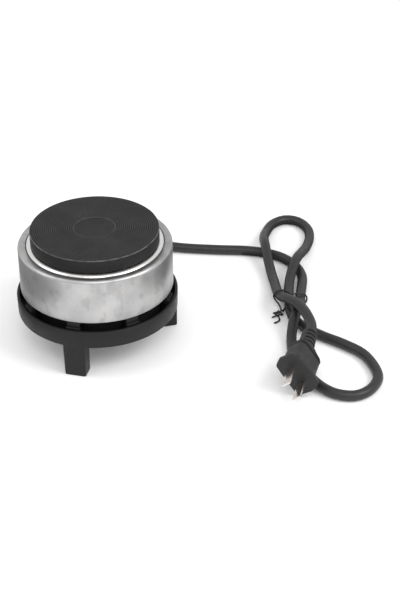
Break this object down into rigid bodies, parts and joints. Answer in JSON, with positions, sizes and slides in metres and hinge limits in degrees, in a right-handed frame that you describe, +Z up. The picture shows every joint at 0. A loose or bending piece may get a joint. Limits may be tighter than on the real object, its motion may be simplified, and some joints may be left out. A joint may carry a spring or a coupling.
{
  "type": "hot plate burner",
  "caption": "Small round electric hot plate: cast iron plate in a stainless steel shell on a moulded black base with three legs, with mains lead and two-pin plug",
  "frame": {"origin": "On the surface that the hot plate stands on, under the middle of the cooking plate", "axes": "+Z up along the plate's axis, -Y to the front, the lead leaves the rear of the base towards +Y"},
  "size_m": [0.2551, 0.2559, 0.087],
  "materials": {
    "cast_iron_plate": "turned and black heat-resistant coated",
    "satin_stainless": "drawn and satin polished",
    "polished_steel": "bright polished",
    "zinc_plated_steel": "zinc plated",
    "black_moulding": "moulded, fine matt",
    "black_rubber": "moulded and extruded, slightly silky",
    "tie_plastic": "plastic-coated wire",
    "steatite": "unglazed",
    "cement": "dry pressed magnesia cement",
    "contact_brass": "as stamped",
    "nickel_plate": "nickel plated",
    "bimetal": "rolled",
    "brown_sleeve": "extruded",
    "blue_sleeve": "extruded"
  },
  "bodies": {
    "hot_plate": {"hotplate": "cast_iron_plate", "heating_coil": "nickel_plate", "cement_filling": "cement", "plate_back_cover": "zinc_plated_steel", "heater_pin_inner": "nickel_plate", "heater_pin_outer": "nickel_plate", "pin_insulator_inner": "steatite", "pin_insulator_outer": "steatite", "centre_stud": "zinc_plated_steel", "clamp_bridge": "zinc_plated_steel", "spring_washer": "zinc_plated_steel", "clamp_nut": "zinc_plated_steel", "heat_shield": "satin_stainless", "shell": "satin_stainless", "spill_ring": "polished_steel", "shell_floor": "zinc_plated_steel", "thermostat_body": "steatite", "thermostat_cap": "satin_stainless", "bimetal_disc": "bimetal", "thermostat_contact_left": "contact_brass", "thermostat_contact_right": "contact_brass", "base": "black_moulding", "strain_relief": "black_rubber", "cord_tail": "black_rubber", "cord_clamp": "black_moulding", "clamp_saddle": "black_moulding", "terminal_block": "steatite", "live_lead": "brown_sleeve", "neutral_lead": "blue_sleeve", "live_thermostat_wire": "brown_sleeve", "neutral_heater_wire": "blue_sleeve", "thermostat_heater_wire": "brown_sleeve", "power_cord": "black_rubber", "twist_tie": "tie_plastic", "plug_body": "black_rubber", "plug_blade_left": "nickel_plate", "plug_blade_right": "nickel_plate", "base_screw_1": "zinc_plated_steel", "base_screw_2": "zinc_plated_steel", "base_screw_3": "zinc_plated_steel", "clamp_screw_1": "zinc_plated_steel", "clamp_screw_2": "zinc_plated_steel", "terminal_screw_1": "contact_brass", "terminal_screw_2": "contact_brass", "terminal_screw_3": "contact_brass", "terminal_screw_4": "contact_brass"},
    "transfer_pin": {"transfer_pin": "steatite"},
    "contact_arm": {"contact_arm": "contact_brass"}
  },
  "joints": [
    {"name": "transfer_pin_slide", "type": "slide", "parent": "hot_plate", "child": "transfer_pin", "axis": [0, 0, 1], "range_m": [-0.0004, 0], "stiffness_N_per_m": 150},
    {"name": "contact_arm_tilt", "type": "hinge", "parent": "hot_plate", "child": "contact_arm", "pos_m": [-0.0042, -0.026, 0.0674], "axis": [0, 1, 0], "range_deg": [0, 6]}
  ],
  "couplings": [
    {"joint": "contact_arm_tilt", "follows": "transfer_pin_slide", "rad_per_m": -238}
  ]
}
